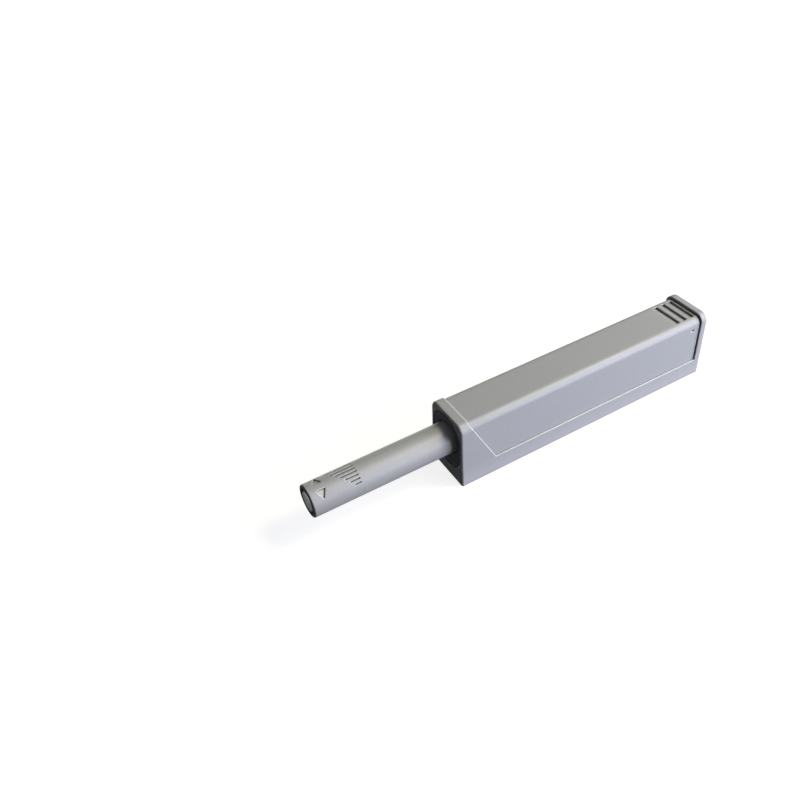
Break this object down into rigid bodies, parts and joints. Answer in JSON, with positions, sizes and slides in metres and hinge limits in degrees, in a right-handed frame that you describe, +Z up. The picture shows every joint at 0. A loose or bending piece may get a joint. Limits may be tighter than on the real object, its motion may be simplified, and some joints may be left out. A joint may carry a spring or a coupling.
{
  "type": "touch latch",
  "caption": "Push-to-open touch latch: sprung round plunger with magnetic tip in a cartridge, inside a long tapered housing that slides onto a screwed-on mounting plate.",
  "frame": {"origin": "middle of the two screw holes on the mounting face", "axes": "+Z up from the mounting face, -Y the way the plunger points, +X the side with the small gate mark"},
  "size_m": [0.0142, 0.118, 0.0199],
  "materials": {
    "plate_plastic": "satin moulded",
    "housing_plastic": "satin moulded, silver grey",
    "sleeve_plastic": "dark grey moulded",
    "plunger_plastic": "fine matt grey",
    "carriage_plastic": "natural slippery plastic",
    "spring_steel": "bright drawn steel",
    "cup_steel": "blackened steel",
    "magnet_nickel": "nickel plated",
    "insert_brass": "turned",
    "buffer_rubber": "soft"
  },
  "bodies": {
    "plate": {"mounting_plate": "plate_plastic"},
    "housing": {"housing_cover": "housing_plastic", "cartridge_sleeve": "sleeve_plastic", "end_plug": "sleeve_plastic", "pivot_pin": "spring_steel", "follower_leaf": "spring_steel", "guide_rod": "spring_steel", "spring_seat": "spring_steel", "ejector_spring": "spring_steel", "buffer_ring": "buffer_rubber"},
    "follower": {"follower_arm": "spring_steel", "follower_peg": "spring_steel"},
    "carriage": {"cam_carriage": "carriage_plastic", "disc_spring": "spring_steel", "retaining_clip": "spring_steel"},
    "adjuster": {"detent_ring": "carriage_plastic"},
    "plunger": {"plunger_tube": "plunger_plastic", "threaded_insert": "insert_brass", "magnet_cup": "cup_steel", "tip_magnet": "magnet_nickel"}
  },
  "joints": [
    {"name": "cover_slide", "type": "slide", "parent": "plate", "child": "housing", "axis": [0, -1, 0], "range_m": [0, 0.005]},
    {"name": "plunger_stroke", "type": "slide", "parent": "housing", "child": "carriage", "axis": [0, 1, 0], "range_m": [0, 0.037], "stiffness_N_per_m": 130, "springref_m": -0.015, "deforming": ["ejector_spring"]},
    {"name": "adjuster_turn", "type": "hinge", "parent": "carriage", "child": "adjuster", "pos_m": [0, -0.031, 0.0117], "axis": [0, -1, 0], "range_deg": [-181, 721]},
    {"name": "adjuster_travel", "type": "slide", "parent": "adjuster", "child": "plunger", "axis": [0, -1, 0], "range_m": [-0.001, 0.004]},
    {"name": "follower_swing", "type": "hinge", "parent": "housing", "child": "follower", "pos_m": [0, 0.042, 0.015], "axis": [0, 0, 1], "range_deg": [0, 7.76]}
  ],
  "couplings": [
    {"joint": "adjuster_turn", "follows": "adjuster_travel", "rad_per_m": 3141.6}
  ]
}
